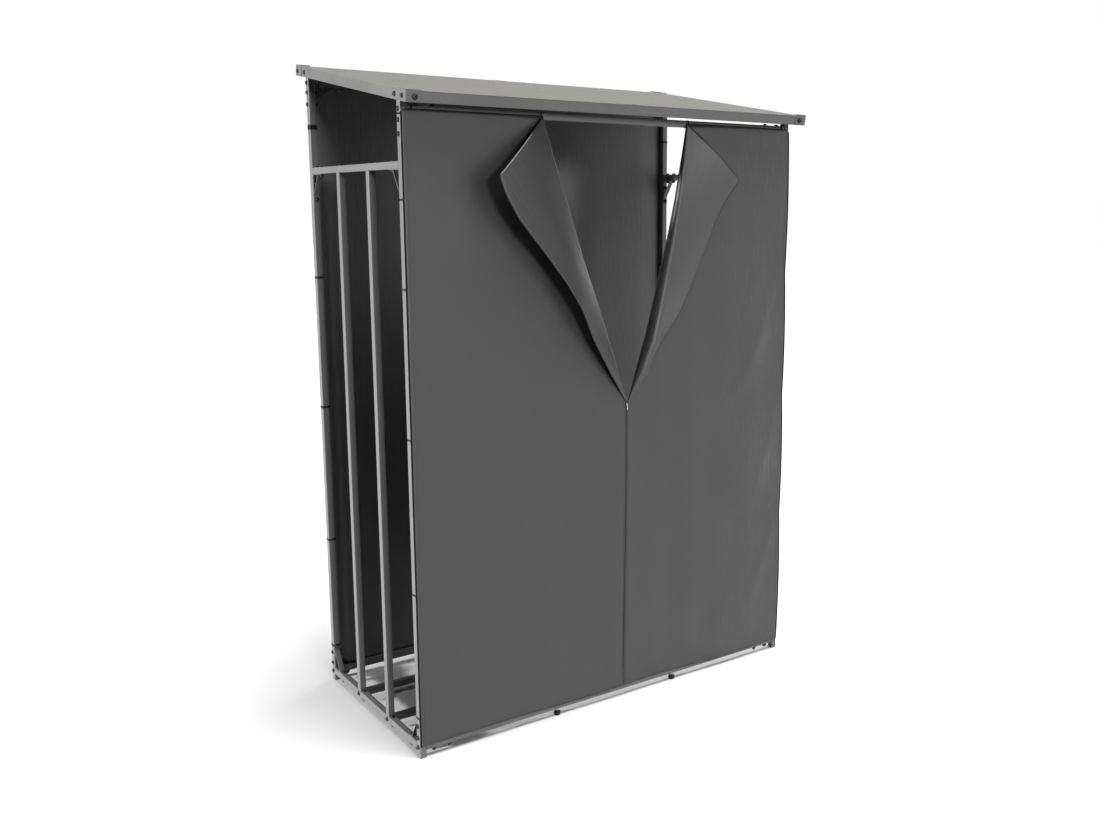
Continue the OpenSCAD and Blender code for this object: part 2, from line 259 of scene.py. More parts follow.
def cloth(name, tone, crinkle, wave, rough, shine=0.7, right_painted_sheen_and_crinkles=False):
    """Coated woven cover cloth: fine weave, soft grain, crinkles and broad drapes along the hang."""
    m = Mat(name, Roughness=rough, IOR=1.45, Specular_IOR_Level=shine)
    fill(m.bsdf, Sheen_Weight=0.05, Sheen_Roughness=0.4)
    uv = m.coords("UV")
    place = m.node("ShaderNodeSeparateXYZ")
    m.link(uv, place.inputs["Vector"])
    turns = [m.math("MULTIPLY", place.outputs[axis], 2 * math.pi / WEAVE_PITCH) for axis in "XY"]
    weave = m.math("MULTIPLY", *(m.math("SINE", turn) for turn in turns))
    cloud = m.noise(uv, scale=4.0, detail=5.0, rough=0.55)
    grain = m.noise(uv, scale=260.0, detail=3.0, rough=0.6)
    drape = m.noise(m.coords("UV", scale=(13.0, 2.6, 1.0)), detail=0.6, rough=0.4)
    fine = m.noise(m.coords("UV", scale=(95.0, 14.0, 1.0)), detail=3.0, rough=0.55)
    dark, light = (grey(tone * k) for k in around(1.0, 0.10))
    colour = m.mix(m.remap(m.blend(cloud, grain, share=0.55), span=(0.34, 0.66)), dark, light)
    colour = m.mix(m.remap(weave, span=(-1.0, 1.0), to=(0.0, 0.14)), colour, grey(tone * 0.6))
    # The right of the front cover gets a painted sheen in its colour, and stronger crinkles.
    if right_painted_sheen_and_crinkles:
        colour, fine = painted_sheen_and_crinkles(m, colour, fine, place.outputs["X"], tone)
    m.set("Base Color", colour)
    m.set("Roughness", m.remap(drape, NOISE_SPAN, to=around(rough, 0.04)))
    normal = m.bump(drape, wave, distance=0.006)
    normal = m.bump(fine, crinkle, distance=0.0022, normal=normal)
    normal = m.bump(grain, 0.18, distance=0.0006, normal=normal)
    m.set("Normal", m.bump(weave, 0.30, distance=0.00012, normal=normal))
    return m.mat


def plain(name, tone, rough, scale, shine=0.5, warm=0.0, metal=0.0, strength=0.15, vary=0.15):
    """Small parts: mottled tone, uneven gloss and a fine surface grain."""
    m = Mat(name, Roughness=rough, Metallic=metal, Specular_IOR_Level=shine)
    vec = m.coords()
    dark, light = (grey(tone * k, warm) for k in around(1.0, vary))
    m.set("Base Color", m.mix(m.remap(m.noise(vec, scale, detail=3.0), NOISE_SPAN), dark, light))
    m.set("Roughness", m.remap(m.noise(vec, scale * 0.4), NOISE_SPAN, to=around(rough, 0.1)))
    m.set("Normal", m.bump(m.noise(vec, scale * 3.0), strength, distance=0.0002))
    return m.mat


FRAME_PAINT = paint("frame_paint", tone=0.168, warm=0.01, rough=0.46, edge_wear_and_highlight=0.40)
GUSSET_PAINT = paint("gusset_paint", tone=0.135, warm=0.01, rough=0.48, edge_wear_and_highlight=0.45)
TRIM_PAINT = paint("trim_paint", tone=0.152, warm=0.01, rough=0.46, edge_wear_and_highlight=0.40)
ROOF_PAINT = paint("roof_paint", tone=0.185, warm=0.075, rough=0.62, edge_wear_and_highlight=0.35, peel=0.2, mottle=0.05)
FRONT_CLOTH = cloth("front_cloth", tone=0.046, crinkle=0.12, wave=0.012, rough=0.35, shine=0.6,
                    right_painted_sheen_and_crinkles=True)
INNER_CLOTH = cloth("front_cloth_inner", tone=0.030, crinkle=0.30, wave=0.02, rough=0.43, shine=0.85)
# The back cover is the same cloth as the front, painted about three times lighter as painted light on its
# dim inside.
BACK_CLOTH_PAINTED_LIGHTER = cloth("back_cloth_painted_lighter", tone=0.140, crinkle=0.42, wave=0.06, rough=0.46)
CUT_EDGE = plain("cut_edge", tone=0.022, rough=0.8, scale=500.0, shine=0.1)
EDGE_TAPE = plain("edge_tape", tone=0.009, rough=0.75, scale=500.0, shine=0.15)
THREAD = plain("thread", tone=0.045, rough=0.7, scale=900.0)
BLACK_BOLT = plain("black_bolt", tone=0.010, rough=0.42, scale=300.0, shine=0.3)
NYLON = plain("nylon", tone=0.006, rough=0.62, scale=350.0, shine=0.2)
RUBBER = plain("rubber", tone=0.011, rough=0.55, scale=420.0, shine=0.25)
ZIP_TAPE = plain("zip_tape", tone=0.045, rough=0.75, scale=700.0)
ZIP_COIL = plain("zip_coil", tone=0.035, rough=0.5, scale=600.0)
NICKEL = plain("nickel", tone=0.36, rough=0.42, scale=350.0, warm=0.02, metal=1.0, strength=0.08, vary=0.08)
ZINC = plain("zinc", tone=0.50, rough=0.36, scale=300.0, metal=0.9, strength=0.1, vary=0.1)


# Mesh helpers

SPLIT = 35    # degrees between faces from which an edge of a small part is sharp


def piece(name, verts, faces, mat, uv=None, split=None):
    """A smooth mesh piece from points of the layout, riding on the frame."""
    mesh = bpy.data.meshes.new(name)
    mesh.from_pydata(world(verts).tolist(), [], [tuple(int(i) for i in face) for face in faces])
    mesh.materials.append(mat)
    if uv is not None:
        layer = mesh.uv_layers.new(name="cut")
        corners = np.zeros(len(mesh.loops), np.int32)
        mesh.loops.foreach_get("vertex_index", corners)
        layer.data.foreach_set("uv", (np.asarray(uv, float)[corners] / METRE).astype(np.float32).ravel())
    mesh.validate()
    obj = bpy.data.objects.new(name, mesh)
    scene.collection.objects.link(obj)
    mesh.polygons.foreach_set("use_smooth", [True] * len(mesh.polygons))
    if split is not None:
        mesh.set_sharp_from_angle(angle=math.radians(split))
    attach(obj, "root")
    return obj


class Parts:
    """Collects many small solids into one piece."""

    def __init__(self):
        self.verts, self.faces, self.count = [], [], 0

    def add(self, verts, faces):
        verts = np.asarray(verts, float).reshape(-1, 3)
        self.verts.append(verts)
        self.faces.extend(tuple(i + self.count for i in face) for face in faces)
        self.count += len(verts)

    def piece(self, name, mat, slot, split=SPLIT):
        return piece(name, np.concatenate(self.verts), self.faces, mat, split=split)


def grid_faces(rows, cols):
    """Quads of a grid of points that runs row by row."""
    starts = [i * cols + j for i in range(rows - 1) for j in range(cols - 1)]
    return [(a, a + 1, a + cols + 1, a + cols) for a in starts]


def ring_faces(rings, seg):
    """Quads between rings of seg points each, with a cap at both ends."""
    faces = []
    for i in range(rings - 1):
        for j in range(seg):
            k = (j + 1) % seg
            faces.append((i * seg + j, i * seg + k, (i + 1) * seg + k, (i + 1) * seg + j))
    last = (rings - 1) * seg
    return faces + [tuple(reversed(range(seg))), tuple(range(last, last + seg))]


def basis(axis):
    """Three rows of unit vectors, the last one along the axis."""
    z = np.asarray(axis, float)
    z = z / np.linalg.norm(z)
    x = np.cross((0, 0, 1) if abs(z[2]) < 0.9 else (0, 1, 0), z)
    x /= np.linalg.norm(x)
    return np.stack([x, np.cross(z, x), z])


def revolve(rings, seg=24):
    """Rings are (radius, height, corners): corners 0 is round, 6 a hexagon of that inscribed radius."""
    verts = []
    turn = np.arange(seg) * 2 * math.pi / seg
    for r, h, corners in rings:
        radius = np.full(seg, float(r))
        if corners:
            step = 2 * math.pi / corners
            radius = r / np.cos((turn + step / 2) % step - step / 2)
        verts.append(np.stack([radius * np.cos(turn), radius * np.sin(turn), np.full(seg, h)], 1))
    return np.concatenate(verts), ring_faces(len(rings), seg)


def placed(shape, at, axis, size=1.0):
    """A shape turned from Z to an axis, scaled and moved."""
    verts, faces = shape
    return (verts * size) @ basis(axis) + np.asarray(at, float), faces


def tube(path, r, seg=10):
    """A round wire along a path."""
    points = np.asarray(path, float)
    heading = np.gradient(points, axis=0)
    heading /= np.linalg.norm(heading, axis=1)[:, None]
    verts = []
    for at, d in zip(points, heading):
        x = np.array((1.0, 0.0, 0.0)) - d * d[0]
        x /= np.linalg.norm(x)
        y = np.cross(d, x)
        for a in np.arange(seg) * 2 * math.pi / seg:
            verts.append(at + r * (math.cos(a) * x + math.sin(a) * y))
    return np.array(verts), ring_faces(len(points), seg)


def run_of(points):
    """The length along a polyline at each of its points."""
    return np.concatenate([[0.0], np.cumsum(np.linalg.norm(np.diff(points, axis=0), axis=1))])


def points_at(points, run, at):
    """Points of a polyline at the given lengths along it."""
    return np.stack([np.interp(at, run, points[:, k]) for k in range(points.shape[1])], 1)


def smooth(x):
    """A soft step from 0 to 1."""
    x = np.clip(x, 0.0, 1.0)
    return x * x * (3 - 2 * x)


# The rigid nodes keep their solids

RIGID = {
    "post": (FRAME_PAINT, "frame_steel"),
    "rail": (FRAME_PAINT, "frame_steel"),
    "bar": (FRAME_PAINT, "frame_steel"),
    "slat": (FRAME_PAINT, "frame_steel"),
    "gussets": (GUSSET_PAINT, "gusset_steel"),
    "panel": (ROOF_PAINT, "roof_sheet"),
    "trim": (TRIM_PAINT, "roof_trim"),
    "bracket": (TRIM_PAINT, "roof_trim"),
    "feet": (RUBBER, "foot_rubber"),
}
for name, obj in nodes.items():
    kind = name.split("_")[-1]
    if kind in RIGID:
        mat, slot = RIGID[kind]
        obj.data.materials.clear()
        obj.data.materials.append(mat)


# Front cover: where its edges, zip and ties lie

CLOTH_OFF = 1.2                      # from the posts' faces to the plane that the covers hang in
CLOTH_THICK = 0.7
FACE = -DEPTH - CLOTH_OFF
TOP, HEM = 1784.0, 34.0
CORNER = 14.0                        # radius of the covers' upper corners
ZIP_X, TIP_Z = 18.0, 952.0           # the zip and the tip of the opening
GAP = 1.0                            # from the middle of the zip to each half
LEFT_TIES = (120.0, 481.0, 916.0, 1320.0, 1553.0, 1771.0)
RIGHT_TIES = (120.0, 490.0, 916.0, 1320.0, 1771.0)
RIGHT_PINCHES = (60.0, 492.0, 905.0, 1319.0)
EDGE_TOP = 1795.0                    # where the slack of the outer edges ends, over the top
USUAL_SPAN = 430.0                   # between two ties, for the slack of the outer edge
EDGES = {-1: (683.0, 0.6, LEFT_TIES[:-1]), 1: (682.5, 5.5, RIGHT_PINCHES)}    # place, slack, ties

# How the front cover hangs

LEAST_STAND, SINK = 0.6, -0.2
BULGE = 17.5                         # how far the tip of the opening stands out
PUFF_X, PUFF_WIDTH = 500.0, 95.0
PUFF_HEIGHTS = (5.0, 9.0, 8.0, 3.0)  # between the pinches of the right edge, from the hem up
LOOSE_LEFT, LOOSE_RIGHT = 0.3, 0.55   # shares of the waves in the two halves
HEM_REACH, HEM_END, HEM_FADE = 90.0, 640.0, 120.0
HEM_WAVES = ((2.2, 0.0135, 0.0, 1.9),)
FRONT_WAVES = ((1.3, 0.021, 0.0006, 0.7), (0.9, 0.047, -0.0011, 2.0), (0.8, 0.004, 0.006, 0.0))
RIDGES = (                           # from, to, width, height
    ((655, 1305), (455, 880), 34, 5.0),
    ((668, 1312), (600, 1130), 15, -2.5),
    ((665, 900), (560, 560), 26, 3.0),
    ((665, 488), (540, 180), 28, 3.0),
    ((-672, 1320), (-610, 1000), 24, 1.0),
    ((330, 60), (400, 330), 50, -3.0),
)


def waves(x, z, terms):
    """Slow waves; a term is the height, the rates along X and Z, and the phase."""
    return sum(height * np.sin(x * rate_x + z * rate_z + phase) for height, rate_x, rate_z, phase in terms)


def hang(x, z, top, side_reach, top_reach, hem_reach):
    """1 inside a hung sheet, falling softly to 0 at its sides, top and hem."""
    return (smooth((INNER_X - np.abs(x)) / side_reach) * smooth((top - z) / top_reach)
            * smooth((z - HEM) / hem_reach))


def ridge(x, z, start, end, width, height):
    """A soft fold of the cloth along a line."""
    start, d = np.array(start, float), np.subtract(end, start).astype(float)
    t = ((x - start[0]) * d[0] + (z - start[1]) * d[1]) / (d @ d)
    off = ((x - start[0]) * d[1] - (z - start[1]) * d[0]) / math.sqrt(d @ d)
    return height * np.sin(math.pi * np.clip(t, 0, 1)) ** 0.8 * np.exp(-(off / width) ** 2)


def zip_bulge(x, z):
    """The cover stands out most at the tip of the opening."""
    below = np.clip((z - HEM) / (TIP_Z - HEM), 0, 1)
    above = np.clip((z - TIP_Z) / (TOP - TIP_Z), 0, 1)
    rise = np.sin(math.pi / 2 * below) ** 1.3
    fall = 1 - 0.85 * smooth(above) - 0.15 * above
    reach = np.where(x < ZIP_X, INNER_X + ZIP_X, INNER_X - ZIP_X)
    near = np.clip(1 - np.abs(x - ZIP_X) / reach, 0, 1)
    return BULGE * np.where(z < TIP_Z, rise, fall) * near ** 1.2


def side_puffs(x, z):
    """Soft puffs between the ties of the right edge."""
    ends = RIGHT_PINCHES + (TOP,)
    total = 0.0
    for low, high, height in zip(ends[:-1], ends[1:], PUFF_HEIGHTS):
        total = total + height * np.sin(math.pi * np.clip((z - low) / (high - low), 0, 1)) ** 1.4
    return total * np.exp(-((x - PUFF_X) / PUFF_WIDTH) ** 2)


def stand(x, z):
    """How far the front cover stands before FACE."""
    x, z = np.asarray(x, float), np.asarray(z, float)
    loose = np.where(x < ZIP_X, LOOSE_LEFT, LOOSE_RIGHT)
    loose = loose * hang(x, z, top=TOP - 30, side_reach=120, top_reach=200, hem_reach=90)
    hem = smooth((HEM_REACH - (z - HEM)) / HEM_REACH) * smooth((HEM_END - np.abs(x)) / HEM_FADE)
    out = zip_bulge(x, z) + loose * waves(x, z, FRONT_WAVES) + side_puffs(x, z)
    out = out + sum(ridge(x, z, *line) for line in RIDGES) + hem * waves(x, z, HEM_WAVES)
    return LEAST_STAND + np.maximum(out, SINK)


def front_point(x, z):
    """Points on the front cover."""
    return np.stack([x, FACE - stand(x, z), z], 1)


def outer_edge(z, sign):
    """X of the front cover's outer edge: drawn in at the ties, slack between them."""
    z = np.asarray(z, float)
    place, slack, ties = EDGES[sign]
    ends = ties + (EDGE_TOP,)
    out = np.zeros_like(z)
    for low, high in zip(ends[:-1], ends[1:]):
        arch = np.sin(math.pi * np.clip((z - low) / (high - low), 0, 1)) ** 0.8
        out += np.where((z >= low) & (z < high), arch * (high - low) / USUAL_SPAN, 0.0)
    return sign * (place + slack * out)


def under_corner(x, z, edge, top):
    """Heights kept under a top edge with rounded corners."""
    c = np.clip((np.abs(x) - (edge - CORNER)) / CORNER, 0, 1)
    return np.minimum(z, top - CORNER * (1 - np.sqrt(1 - c ** 2)))


# Front cover: the two halves with their turned back flaps.
# Per half: the fold from the top to the tip (X, Z), the flap's free edge (X, Z, how far it stands
# out), and the radius of the roll by the share of the way down the fold.

FLAPS = {
    -1: dict(
        fold=[(-260, 1783), (-233, 1691), (-201, 1596), (-162, 1483), (-126, 1368), (-84, 1250),
              (-46, 1129), (-9, 1019), (ZIP_X - GAP, TIP_Z)],
        edge=[(-448.8, 1618.6, 92), (-433, 1568.2, 95), (-389.1, 1498.9, 93), (-299.9, 1404.2, 82),
              (-233, 1323, 82), (-181, 1251, 77), (-129, 1153, 62), (-54, 1048.5, 38),
              (ZIP_X - GAP, TIP_Z, 19)],
        roll=([0, 0.45, 0.7, 0.85, 0.95, 1.0], [2.6, 3.2, 6.0, 8.0, 4.0, 0.8]),
        sag=1.0),
    1: dict(
        fold=[(251, 1783), (232, 1691), (203, 1560), (173, 1450), (141, 1350), (112, 1255),
              (81, 1157), (51, 1070), (ZIP_X + GAP, TIP_Z)],
        edge=[(427, 1617, 57), (393, 1571, 46), (369.4, 1529, 36), (350, 1486.5, 28), (326, 1425.7, 23),
              (290, 1347, 20), (254, 1275, 20), (216, 1209, 21), (177.5, 1163, 22), (139, 1117, 22),
              (102, 1065, 22), (64, 1019, 21), (ZIP_X + GAP, TIP_Z, 19)],
        roll=([0, 0.12, 0.4, 0.62, 0.76, 0.88, 0.96, 1.0], [5.0, 10.0, 17.0, 22.0, 24.0, 18.0, 7.0, 0.8]),
        sag=1.3),
}
V_ROWS, LOW_ROWS = 104, 100                      # beside the opening and below it
PANEL_COLS, ARC_COLS, FLAP_COLS = 64, 14, 30
ROW = FLAP_COLS + ARC_COLS + 1 + PANEL_COLS      # points in a row beside the opening
SMOOTH_POINTS, SMOOTH_PASSES = 241, 30           # for the lines of the fold and the free edge
FLAP_SAG = 0.035                                 # of the flap's width
LEAST_LEAN = 0.4                                 # of the free edge before the panel
LEAN_BLEND = 6.0                                 # up to this height a roll follows the panel's waves
TIP_HEADING, TIP_REACH = (0.95, -0.31), 1e-3     # the flap's direction and width at the very tip
LEVEL_RATE = 3.0                                 # rows are level from a third of the way across
HEM_RISE_LEFT, HEM_RISE_RIGHT = 3.0, -5.0        # of the hem's outer ends
HEM_MIDDLE, HEM_SLOPE, HEM_FOLLOW = 150.0, 450.0, 60.0
HEM_RIPPLES = ((1.8, 0.012, 0.0, 0.4),)


def along(points, u):
    """Points at shares of the length of a polyline, after smoothing it."""
    corners = np.asarray(points, float)
    run = run_of(corners)
    fine = np.linspace(0, 1, SMOOTH_POINTS)
    path = points_at(corners, run / run[-1], fine)
    for _ in range(SMOOTH_PASSES):
        path[1:-1] = 0.25 * path[:-2] + 0.5 * path[1:-1] + 0.25 * path[2:]
    return points_at(path, fine, u)


def roll_and_flap(r, reach, lean, sag):
    """A section through the roll and the flap: distance from the fold, height, length of cloth.

    The flap leaves the roll along the tangent to its free edge. The limits keep that edge clear of
    the roll where the flap is narrow.
    """
    end = np.array([max(reach, 2.2 * r + 0.05), max(lean, LEAST_LEAN)])
    v = end - r
    far = max(np.linalg.norm(v), r * 1.01)
    turn = 1.5 * math.pi - math.atan2(v[1], v[0]) - math.acos(min(r / far, 0.999))
    a = np.linspace(0, turn, ARC_COLS + 1)
    arc = np.stack([r - r * np.sin(a), r - r * np.cos(a)], 1)
    t = np.linspace(0, 1, FLAP_COLS + 1)[1:]
    span = np.linalg.norm(end - arc[-1])
    flat = arc[-1] + (end - arc[-1]) * t[:, None]
    flat[:, 1] += FLAP_SAG * sag * span * np.sin(math.pi * t)
    away, height = np.concatenate([arc, flat]).T
    return away, height, np.concatenate([r * a, r * turn + span * t])


def upper_row(sign, u, fold, edge, r):
    """A row beside the opening, from the flap's free edge to the outer edge: points and cut places."""
    flat_z = TOP - u * (TOP - TIP_Z)
    across = edge[:2] - fold
    reach = np.linalg.norm(across)
    if reach < TIP_REACH:
        across, reach = np.array(TIP_HEADING) * (sign, 1), TIP_REACH
    across = across / np.linalg.norm(across)
    root = fold + across * r
    base = float(stand(*root))
    sag = FLAPS[sign]["sag"] * (1 - 0.5 * u)
    away, height, length = roll_and_flap(r, reach, edge[2] - base, sag)
    x, z = (fold + across * away[:, None]).T
    keep = smooth(height / LEAN_BLEND)
    turned = np.stack([x, FACE - (height + stand(x, z) * (1 - keep) + base * keep), z], 1)
    outer = float(outer_edge(flat_z, sign))
    t = np.linspace(0, 1, PANEL_COLS + 1)[1:]
    panel_x = root[0] + (outer - root[0]) * t
    panel_z = root[1] + (flat_z - root[1]) * smooth(t * LEVEL_RATE)
    panel_z = under_corner(panel_x, panel_z, abs(outer), TOP)
    cut_x = np.concatenate([(root[0] - sign * length)[::-1], panel_x])
    points = np.concatenate([turned[::-1], front_point(panel_x, panel_z)])
    return points, np.stack([cut_x, np.full(ROW, flat_z)], 1)


def lower_row(sign, z):
    """A row from the zip to the outer edge."""
    start = ZIP_X + sign * GAP
    x = start + (float(outer_edge(z, sign)) - start) * np.linspace(0, 1, PANEL_COLS + 1)
    left, right = (smooth((k * x - HEM_MIDDLE) / HEM_SLOPE) for k in (-1, 1))
    rise = HEM_RISE_LEFT * left + HEM_RISE_RIGHT * right + waves(x, z, HEM_RIPPLES)
    hung = z + rise * smooth((HEM_FOLLOW - (z - HEM)) / HEM_FOLLOW)
    return front_point(x, hung), np.stack([x, np.full(len(x), z)], 1)


def cover_half(sign):
    """One half of the front cover as one sheet: points, cut places and faces."""
    u = np.linspace(0, 1, V_ROWS)
    fold, edge = (along(FLAPS[sign][key], u) for key in ("fold", "edge"))
    radius = np.interp(u, *FLAPS[sign]["roll"])
    rows = [upper_row(sign, *values) for values in zip(u, fold, edge, radius)]
    rows += [lower_row(sign, z) for z in np.linspace(TIP_Z, HEM, LOW_ROWS + 1)[1:]]
    faces = grid_faces(V_ROWS, ROW)
    above = V_ROWS * ROW - PANEL_COLS - 1
    for k in range(LOW_ROWS):
        row = V_ROWS * ROW + k * (PANEL_COLS + 1)
        faces += [(above + j, above + j + 1, row + j + 1, row + j) for j in range(PANEL_COLS)]
        above = row
    if sign > 0:
        faces = [tuple(reversed(face)) for face in faces]
    points, cut = (np.concatenate(column) for column in zip(*rows))
    return points, cut, faces


def thicken(obj, mm, inner=None):
    """Gives a sheet its thickness, a cut edge and, where asked, another inner face."""
    obj.data.materials.append(CUT_EDGE)
    mod = obj.modifiers.new("thickness", "SOLIDIFY")
    mod.material_offset_rim = 1
    if inner:
        obj.data.materials.append(inner)
        mod.material_offset = 2
    mod.thickness = mm / METRE
    mod.offset = 0.0
    mod.use_even_offset = False


halves, free_edges = {}, {}
for sign, side in SIDES:
    verts, cut, faces = cover_half(sign)
    free_edges[side] = verts[:V_ROWS * ROW:ROW]
    obj = piece(f"front_cover_{side}_sheet", verts, faces, FRONT_CLOTH, uv=cut)
    thicken(obj, CLOTH_THICK, INNER_CLOTH)
    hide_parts(f"front_cover_{side}")
    halves[side] = obj


# Back cover

BACK_TOP, BACK_HALF = 1903.0, 683.0
BACK_ROWS, BACK_COLS = 121, 111
BACK_STAND, BACK_SLACK = 1.0, 2.6
BACK_WAVES = ((1.6, 0.012, 0.0015, 0.4), (0.9, 0.023, -0.0028, 1.2), (1.2, -0.003, 0.005, 0.0))


def back_cover():
    x = BACK_HALF * np.linspace(-1, 1, BACK_COLS)
    verts, cut = [], []
    for height in np.linspace(HEM, BACK_TOP, BACK_ROWS):
        z = under_corner(x, height, BACK_HALF, BACK_TOP)
        slack = hang(x, z, top=BACK_TOP - 18, side_reach=150, top_reach=160, hem_reach=120)
        slack = slack * (BACK_SLACK + waves(x, z, BACK_WAVES))
        verts.append(np.stack([x, DEPTH + CLOTH_OFF + BACK_STAND + slack, z], 1))
        cut.append(np.stack([x, np.full(BACK_COLS, height)], 1))
    faces = [tuple(reversed(face)) for face in grid_faces(BACK_ROWS, BACK_COLS)]
    sheet = piece("back_cover_sheet", np.concatenate(verts), faces, BACK_CLOTH_PAINTED_LIGHTER,
                  uv=np.concatenate(cut))
    thicken(sheet, CLOTH_THICK)
    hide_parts("back_cover")
    return sheet


back = back_cover()


# Zip

TAPE_COLS = (-11.0, -8.0, -4.0, 0.0, 4.0, 8.0, 11.0)
TAPE_ROWS, TAPE_BEHIND, TAPE_THICK = 120, 1.1, 0.6
TOOTH = revolve([(0.35, -2.4, 0), (0.75, -2.1, 0), (0.85, -1.0, 0), (0.75, 0.8, 0), (0.9, 1.5, 0),
                 (0.8, 2.1, 0), (0.3, 2.3, 0)], 8)
TOOTH_STEP, TOOTH_SHIFT, TOOTH_BEHIND, TOOTH_TILT = 2.4, 0.7, 0.2, 0.12
TEETH_LOW, TEETH_HIGH = HEM + 4.0, TIP_Z - 6.0
OPEN_START, OPEN_END, OPEN_TILT, OPEN_SIZE = 3.0, 6.0, 0.15, 0.9
SLIDER_Z = TIP_Z - 4.0
SLIDER_Y = FACE - float(stand(ZIP_X, SLIDER_Z)) - 0.4
SLIDER_DROP, SLIDER_WIDEN, SLIDER_SEG = 4.5, 0.28, 20
SLIDER_RINGS = (                                 # half width, half height, Y
    (1.8, 4.2, 1.4), (2.5, 4.9, 0.2), (2.7, 5.2, -0.8), (2.3, 4.7, -1.7), (1.3, 3.0, -2.1))
BAIL = ((-1.2, -1.6), (-2.6, -1.9), (-3.3, -3.4), (-3.1, -5.2), (-2.2, -6.3))
BAIL_RADIUS = 0.55
PULL_SIDE = ((1.2, -14.6), (2.1, -13.6), (2.3, -11), (1.9, -7), (1.5, -3.5), (1.6, -0.9), (1.2, 0))
PULL_LAYERS = ((0.3, 0.0), (0.0, -0.2), (0.0, -0.8), (0.3, -1.0))    # inset, Y
PULL_LEAN, PULL_SPLIT, PULL_NECK = -0.03, 40, -7
PULL_OUT, PULL_DROP = 2.4, 4.6                   # from the slider to the pull's upper end


def make_zip_tape():
    z = np.linspace(HEM + 1, TIP_Z - 2, TAPE_ROWS)
    y = FACE - stand(np.full(TAPE_ROWS, ZIP_X), z) + TAPE_BEHIND
    verts = [(ZIP_X + x, y[k], z[k]) for k in range(TAPE_ROWS) for x in TAPE_COLS]
    cut = [(x, height) for height in z for x in TAPE_COLS]
    tape = piece("zip_tape", verts, grid_faces(TAPE_ROWS, len(TAPE_COLS)), ZIP_TAPE, uv=cut)
    thicken(tape, TAPE_THICK)
    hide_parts("front_zip")
    return tape


def zip_teeth():
    """Closed teeth below the tip, open ones along the flaps' free edges."""
    closed = Parts()
    for k in range(int((TEETH_HIGH - TEETH_LOW) / TOOTH_STEP)):
        z = TEETH_LOW + k * TOOTH_STEP
        side = -1 if k % 2 else 1
        at = (ZIP_X + side * TOOTH_SHIFT, FACE - float(stand(ZIP_X, z)) + TOOTH_BEHIND, z)
        closed.add(*placed(TOOTH, at, (side, 0, TOOTH_TILT)))
    closed.piece("zip_teeth", ZIP_COIL, "zip_plastic")
    for side, line in free_edges.items():
        half = Parts()
        run = run_of(line)
        at = np.arange(OPEN_START, run[-1] - OPEN_END, TOOTH_STEP)
        points = points_at(line, run, at)
        for point, ahead in zip(points, points_at(line, run, at + 1.0) - points):
            across = np.cross(ahead, (0, -1, 0)) + OPEN_TILT * ahead
            half.add(*placed(TOOTH, point, across, OPEN_SIZE))
        half.piece(f"{side}_open_zip_teeth", ZIP_COIL, "zip_plastic")


def squared(value):
    """Swells a circle's sine or cosine towards a rounded square."""
    return math.copysign(abs(value) ** 0.6, value)


def zip_slider():
    slider, verts = Parts(), []
    for width, height, y in SLIDER_RINGS:
        for a in np.arange(SLIDER_SEG) * 2 * math.pi / SLIDER_SEG:
            x, z = squared(math.cos(a)), squared(math.sin(a))
            widen = 1.0 + SLIDER_WIDEN * max(z, 0)
            verts.append((ZIP_X + width * x * widen, SLIDER_Y + y, SLIDER_Z - SLIDER_DROP + height * z))
    slider.add(verts, ring_faces(len(SLIDER_RINGS), SLIDER_SEG))
    slider.add(*tube([(ZIP_X, SLIDER_Y + y, SLIDER_Z + z) for y, z in BAIL], BAIL_RADIUS))
    slider.piece("zip_slider", NICKEL, "zip_plastic")


def zip_pull():
    pull = Parts()
    outline = [(-x, z) for x, z in reversed(PULL_SIDE)] + list(PULL_SIDE)
    verts = []
    for inset, y in PULL_LAYERS:
        for x, z in outline:
            shrink = inset if z < PULL_NECK else -inset
            verts.append((ZIP_X + x * (1 - inset / 3), SLIDER_Y - PULL_OUT + y + PULL_LEAN * z,
                          SLIDER_Z - PULL_DROP + z + shrink))
    pull.add(verts, ring_faces(len(PULL_LAYERS), len(outline)))
    pull.piece("zip_pull", NICKEL, "zip_plastic", split=PULL_SPLIT)


zip_tape = make_zip_tape()
zip_teeth()
zip_slider()
zip_pull()


# Edge tape and stitching of the front cover

TAPE_OFF, TAPE_RISE = 0.35, 0.5                  # how the edge tape lies on the cloth
SIDE_TAPE_HALF, SIDE_TAPE_IN, SIDE_TAPE_POINTS = 2.4, 0.6, 150
TOP_TAPE_HALF, TOP_TAPE_DROP, TOP_TAPE_POINTS = 1.9, 1.8, 80
TAPE_TOP, TAPE_HEM = TOP - 15.0, HEM + 2.0
TOP_TAPE_START, TOP_TAPE_END = 4.0, 12.0         # from the fold and from the outer edge
STITCH = revolve([(0.12, -1.35, 0), (0.32, -1.1, 0), (0.4, 0, 0), (0.32, 1.1, 0), (0.12, 1.35, 0)], 6)
STITCH_STEP, SEAM_IN, ZIP_SEAM, SEAM_MARGIN = 4.2, 13.0, 8.0, 2.0
SEAM_TOP, SEAM_HEM, SEAM_TIP = TOP - 16.0, HEM + 12.0, TIP_Z - 12.0
HEM_SEAM_END, TOP_SEAM_START, TOP_SEAM_END = 669.0, 275.0, 668.0
SIDE_SEAM_POINTS, SEAM_POINTS, TOP_SEAM_POINTS = 200, 160, 120
STITCH_UP = (0.0, -0.45, 0.0)


def ribbon(name, path, across, half):
    """A flat tape on the front cover; across is the direction of its width."""
    side = ((half, -0.2), (half * 0.96, TAPE_RISE * 0.6), (half * 0.6, TAPE_RISE))
    profile = [(-a, b) for a, b in side] + [(0, TAPE_RISE * 1.05)] + list(reversed(side))
    verts, cut = [], []
    for point, length in zip(path, run_of(path)):
        for a, b in profile:
            verts.append(point + np.multiply(across, a) + (0.0, -(TAPE_OFF + b), 0.0))
            cut.append((a, length))
    return piece(name, verts, grid_faces(len(path), len(profile)), EDGE_TAPE, uv=cut)


